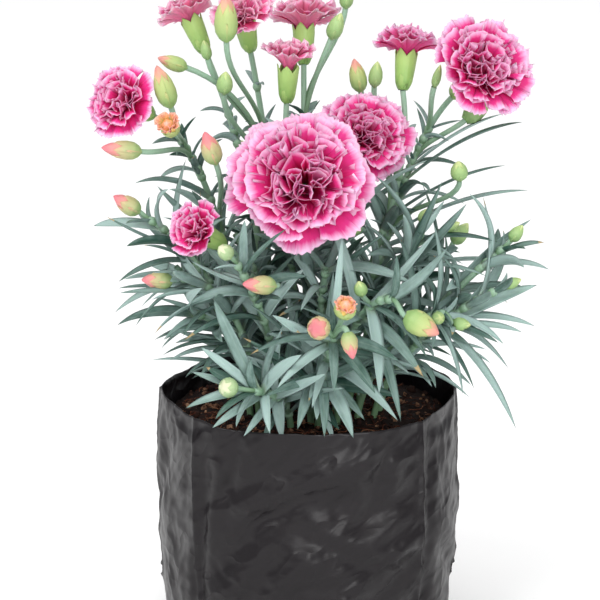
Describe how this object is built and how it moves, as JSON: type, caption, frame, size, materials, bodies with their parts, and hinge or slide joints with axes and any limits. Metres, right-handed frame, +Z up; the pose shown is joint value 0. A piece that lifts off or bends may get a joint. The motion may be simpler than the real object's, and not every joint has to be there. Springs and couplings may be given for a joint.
{
  "type": "potted dianthus plant",
  "caption": "Flowering pot carnation with double blooms, buds and narrow grey-green leaves, planted in a black film grow bag that stands on its flat base.",
  "frame": {"origin": "centre of the grow bag's flat base, on the surface it stands on", "axes": "+Z up along the plant; the main bloom faces -Y, and +X is to its right as seen from the front"},
  "size_m": [0.2121, 0.1636, 0.3099],
  "materials": {
    "bag_film": "thin wrinkled black polythene film with a soft sheen",
    "potting_mix": "loose dark coir and peat crumbs, moist and dull",
    "foliage": "glaucous blue-green leaves and stems with a waxy bloom",
    "petals": "soft crimson-pink petals with pale toothed margins"
  },
  "bodies": {
    "root": {"back_bud": "foliage", "back_leafy": "foliage", "back_left_leafy": "foliage", "back_right_leafy": "foliage", "far_right_petals": "petals", "far_right_stem": "foliage", "front_buds": "foliage", "front_left_buds": "foliage", "front_right_bud": "foliage", "grow_bag": "bag_film", "half_open_low_petals": "petals", "half_open_low_stem": "foliage", "half_open_top_petals": "petals", "half_open_top_stem": "foliage", "left_back_leafy": "foliage", "left_back_petals": "petals", "left_back_stem": "foliage", "left_bud": "foliage", "left_leafy": "foliage", "left_petals": "petals", "left_stem": "foliage", "low_front": "foliage", "low_front_left": "foliage", "low_left_bud": "foliage", "low_right_buds": "foliage", "main_petals": "petals", "main_stem": "foliage", "mid_back": "foliage", "mid_front": "foliage", "mid_left": "foliage", "mid_right": "foliage", "potting_mix": "potting_mix", "right_back_leafy": "foliage", "right_back_petals": "petals", "right_back_stem": "foliage", "right_buds": "foliage", "right_front_petals": "petals", "right_front_stem": "foliage", "right_long": "foliage", "right_low_long": "foliage", "top_back_petals": "petals", "top_back_stem": "foliage", "top_front_petals": "petals", "top_front_stem": "foliage"}
  },
  "joints": []
}
